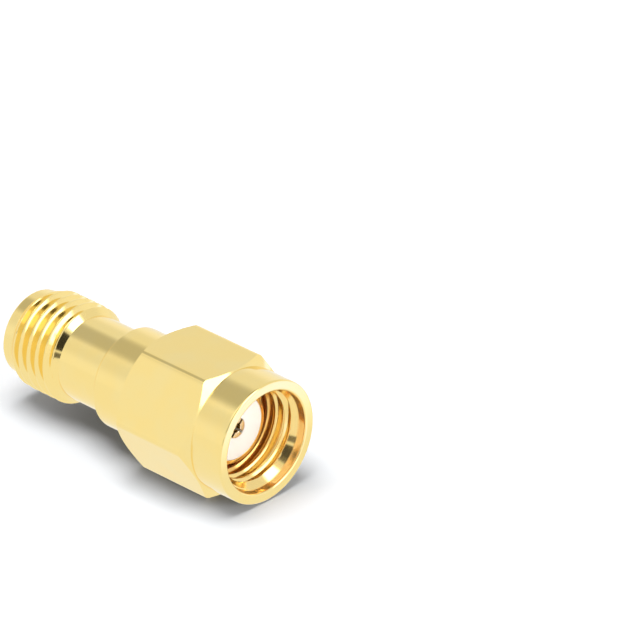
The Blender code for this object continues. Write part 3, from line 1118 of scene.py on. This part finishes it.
    def _slot_cutter(self, middle: float, angle: float) -> Piece:
        """A block that saws one slot through the contact's end."""
        shape = bmesh.new()
        bmesh.ops.create_cube(shape, size=1.0)
        width = self.slot_width
        size = (self.slot_length + width, width, 2 * self.contact_radius + width)
        bmesh.ops.scale(shape, verts=shape.verts, vec=[side * MM for side in size])
        bmesh.ops.translate(shape, verts=shape.verts, vec=((self.shop.lathe.front - middle) * MM, 0.0, 0.0))
        bmesh.ops.rotate(shape, verts=shape.verts, matrix=Matrix.Rotation(angle, 3, "X"))
        return add_shape("slot_cutter", shape)


@dataclass(frozen=True)
class ViewPoint:
    """The camera of the photograph, turned so that the nut's front centre falls on its pixel."""

    azimuth: float = math.radians(45.15)
    elevation: float = math.radians(29.81)
    roll: float = math.radians(-0.83)
    distance: float = 0.3696
    focal_pixels: float = 6288.0
    image_pixels: float = 632.0
    front_pixel: Span = (267.1, 442.7)
    sensor: float = 36.0
    near_clip: float = 0.01848

    def place(self, target: Vector) -> None:
        """Adds the camera.

        Args:
            target: The centre of the nut's front face.
        """
        level = math.cos(self.elevation)
        east, north = math.sin(self.azimuth), math.cos(self.azimuth)
        back = Vector((east * level, -north * level, math.sin(self.elevation)))
        level_right = Vector((north, east, 0.0))
        right = Matrix.Rotation(self.roll, 3, back) @ level_right
        up = back.cross(right)
        middle = self.image_pixels / 2
        aside = (middle - self.front_pixel[0]) / self.focal_pixels
        above = (self.front_pixel[1] - middle) / self.focal_pixels
        ahead = (-back + right * aside + up * above).normalized()
        across = (right - ahead * right.dot(ahead)).normalized()
        data = bpy.data.cameras.new("camera")
        data.sensor_width = self.sensor
        data.lens = self.sensor * self.focal_pixels / self.image_pixels
        data.clip_start = self.near_clip
        camera = add_object("camera", data)
        camera.location = target + back * self.distance
        camera.rotation_euler = Matrix((across, across.cross(ahead), -ahead)).transposed().to_euler()
        bpy.context.scene.camera = camera


@dataclass(frozen=True)
class Patch:
    """A soft round patch of the light tent, brighter or darker than the rest.

    It is full up to the inner angle from its direction and gone at the outer one, in degrees.
    """

    direction: Triple
    inner: float
    outer: float
    level: float


@dataclass
class Studio:
    """The pale floor, the soft light and the white background.

    The fields named far make the paper that metal mirrors glow brighter and bluer beyond far_ahead and
    far_aside, spans of X and Y in millimetres: a painted reflection of paper that lies out of the adapter's
    shade. The deep light is what metal throws onto matt surfaces.
    """

    floor_height: float
    floor_radius: float = 1.5
    floor_segments: int = 96
    floor_colour: Triple = (0.93, 0.945, 0.965)
    floor_mirrored: float = 0.97
    far_ahead: Span = (13.5, 18.5)
    far_aside: Span = (-2.0, 1.0)
    far_gain: float = 1.0
    far_colour: Triple = (0.6, 0.65, 1.0)
    deep_colour: Triple = (0.42, 0.46, 0.75)
    deep_level: float = 0.2
    tent_level: float = 1.0
    roof_drop: float = 0.12
    roof_span: Span = (0.2, 0.5)
    fill_level: float = 0.22
    lamp_direction: Triple = (-0.02, -0.14, 0.98)
    lamp_distance: float = 0.6
    lamp_width: float = 0.4
    lamp_level: float = 5.9
    mirrored_patches: tuple[Patch, ...] = (
        Patch((-0.62, 0.02, 0.79), 8, 24, 0.56),
        Patch((-0.36, -0.46, 0.81), 12, 18, 1.45),
        Patch((-0.24, 0.2, 0.95), 5, 14, 0.14),
        Patch((0.68, 0.15, 0.72), 12, 17, 4.0),
        Patch((0.86, 0.24, 0.45), 12, 17, 3.0),
        Patch((0.97, 0.0, 0.22), 8, 13, 3.0),
        Patch((0.78, -0.35, 0.52), 8, 11, 0.03),
        Patch((0.75, -0.53, 0.4), 10.5, 13, 0.03),
        Patch((0.7, -0.71, 0.04), 6.5, 9.5, 0.15),
    )
    fill_patches: tuple[Patch, ...] = (
        Patch((0.99, 0.0, 0.12), 14, 30, 7.0),
        Patch((-0.99, 0.0, 0.12), 14, 30, 4.5),
    )

    def build(self) -> None:
        """Adds the floor, the world and the lamp."""
        self._floor()
        self._world()
        self._lamp()

    def _by_mirror(self, graph: Graph, kind: str, plain: Wire, mirrored: Wire) -> Wire:
        """Chooses what a ray meets by how it got there.

        Args:
            graph: The tree of the floor or the world.
            kind: The node type that shows a colour as light.
            plain: The shader for a ray that metal hasn't reflected.
            mirrored: The shader for a ray that metal reflects straight towards the camera.

        Returns:
            The shader. Light that metal throws onto a matt surface is weak and grey once it is tinted.
        """
        diffuse_depth = graph.wire("ShaderNodeLightPath", out="Diffuse Depth")
        thrown = graph.maths("GREATER_THAN", diffuse_depth, 0.5)
        deep = graph.wire(kind, Color=self.deep_colour, Strength=self.deep_level)
        reflected = graph.wire("ShaderNodeMixShader", _0=thrown, _1=mirrored, _2=deep)
        glossy = graph.wire("ShaderNodeLightPath", out="Is Glossy Ray")
        return graph.wire("ShaderNodeMixShader", _0=glossy, _1=plain, _2=reflected)

    def _floor(self) -> None:
        """A round floor under the adapter, which polished metal mirrors as plain white paper."""
        shape = bmesh.new()
        sizes = {"radius": self.floor_radius, "segments": self.floor_segments}
        bmesh.ops.create_circle(shape, cap_ends=True, **sizes)
        bmesh.ops.translate(shape, verts=shape.verts, vec=(0.0, 0.0, self.floor_height))
        floor = add_shape("floor", shape)
        material = bpy.data.materials.new("floor_paper")
        material.use_nodes = True
        graph = Graph(material.node_tree)
        paper = graph.wire("ShaderNodeBsdfDiffuse", Color=self.floor_colour)
        place = graph.wire("ShaderNodeTexCoord", out="Object")
        along, aside = (graph.axis(name, place) / MM for name in "XY")
        # Painted reflection: farther out, the paper that metal mirrors glows brighter and bluer.
        far = graph.ease(along, *self.far_ahead) * graph.ease(aside, *self.far_aside)
        strength = self.floor_mirrored + self.far_gain * far
        colour = graph.blend(far, WHITE, self.far_colour)
        white = graph.wire("ShaderNodeEmission", Color=colour, Strength=strength)
        mixed = self._by_mirror(graph, "ShaderNodeEmission", paper, white)
        graph.node("ShaderNodeOutputMaterial", Surface=mixed)
        floor.data.materials.append(material)

    @staticmethod
    def _patched(graph: Graph, level: Value, patches: tuple[Patch, ...], direction: Wire) -> Value:
        """The tent's level with patches laid over it one after another."""
        settings = {"operation": "DOT_PRODUCT"}
        for patch in patches:
            towards = Vector(patch.direction).normalized()
            nearness = graph.wire("ShaderNodeVectorMath", settings, out="Value", _0=direction, _1=towards)
            outer, inner = (math.cos(math.radians(angle)) for angle in (patch.outer, patch.inner))
            level = graph.fade(graph.ease(nearness, outer, inner), level, patch.level)
        return level

    def _world(self) -> None:
        """A light tent: even at the sides, darker at the roof, with bright windows and a dark lens."""
        world = bpy.data.worlds.new("light_tent")
        bpy.context.scene.world = world
        world.use_nodes = True
        graph = Graph(world.node_tree)
        direction = graph.wire("ShaderNodeTexCoord", out="Generated")
        height = graph.axis("Z", direction)
        sky = self.tent_level - self.roof_drop * graph.ease(height, *self.roof_span)
        tent, fill, white = (
            graph.wire("ShaderNodeBackground", Color=WHITE, Strength=strength)
            for strength in (
                self._patched(graph, sky, self.mirrored_patches, direction),
                self._patched(graph, self.fill_level, self.fill_patches, direction),
                1.0,
            )
        )
        lit = self._by_mirror(graph, "ShaderNodeBackground", fill, tent)
        camera_ray = graph.wire("ShaderNodeLightPath", out="Is Camera Ray")
        seen = graph.wire("ShaderNodeMixShader", _0=camera_ray, _1=lit, _2=white)
        graph.node("ShaderNodeOutputWorld", Surface=seen)

    def _lamp(self) -> None:
        """A square soft lamp overhead that faces the adapter; the tent stands for it in reflections."""
        direction = Vector(self.lamp_direction).normalized()
        data = bpy.data.lights.new("overhead_softbox", "AREA")
        data.shape = "SQUARE"
        data.size = self.lamp_width
        data.energy = self.lamp_level * math.pi * self.lamp_width**2
        lamp = add_object("overhead_softbox", data)
        lamp.location = direction * self.lamp_distance
        lamp.rotation_euler = direction.to_track_quat("Z", "Y").to_euler()
        lamp.visible_glossy = False


def finishes() -> dict[Slot, Material]:
    """The finish of each slot."""
    gold = PolishedPlate(
        colour=(0.97, 0.755, 0.29),
        second_colour=(0.95, 0.76, 0.32),
        roughness=0.11,
        roughness_swing=0.05,
        relief=0.002,
        # Painted shade and painted reflection inside the nut's mouth.
        bore=PaintedBoreShade(),
    )
    contact = PolishedPlate(
        colour=(0.98, 0.81, 0.5),
        second_colour=(0.95, 0.78, 0.48),
        roughness=0.2,
        roughness_swing=0.06,
        relief=0.003,
    )
    bronze = PolishedPlate(
        colour=(0.72, 0.45, 0.2),
        second_colour=(0.6, 0.36, 0.16),
        roughness=0.3,
        roughness_swing=0.1,
        relief=0.006,
    )
    looks = {
        Slot.GOLD_PLATE: gold,
        Slot.CONTACT_GOLD: contact,
        Slot.SPRING_BRONZE: bronze,
        # The insulation's peach colour is partly its own warm white and partly painted warm light that the
        # gold round it would throw onto it.
        Slot.PTFE: Insulation(colour=(0.98, 0.89, 0.8), second_colour=(0.96, 0.87, 0.78), roughness=0.42),
        Slot.SILICONE: SoftRubber(
            colour=(0.55, 0.1, 0.05), second_colour=(0.42, 0.07, 0.04), roughness=0.5
        ),
    }
    return {slot: look.material(slot.value) for slot, look in looks.items()}


def main() -> None:
    """Builds the adapter's looks in order."""
    logging.basicConfig(level=logging.INFO, format="%(message)s")
    bpy.context.scene.view_settings.view_transform = "Standard"
    nut_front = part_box("coupling_nut")[1].x
    ViewPoint().place(Vector((nut_front, 0.0, 0.0)))
    shop = Shop(TurningLathe(nut_front / MM), ThreadStandard(), finishes())
    body = AdapterBody(shop)
    for part in (CouplingNut(shop), body, Insides(shop, body)):
        part.build()
    Studio(floor_height=cad_bounds[0][2]).build()


if __name__ == "__main__":
    main()
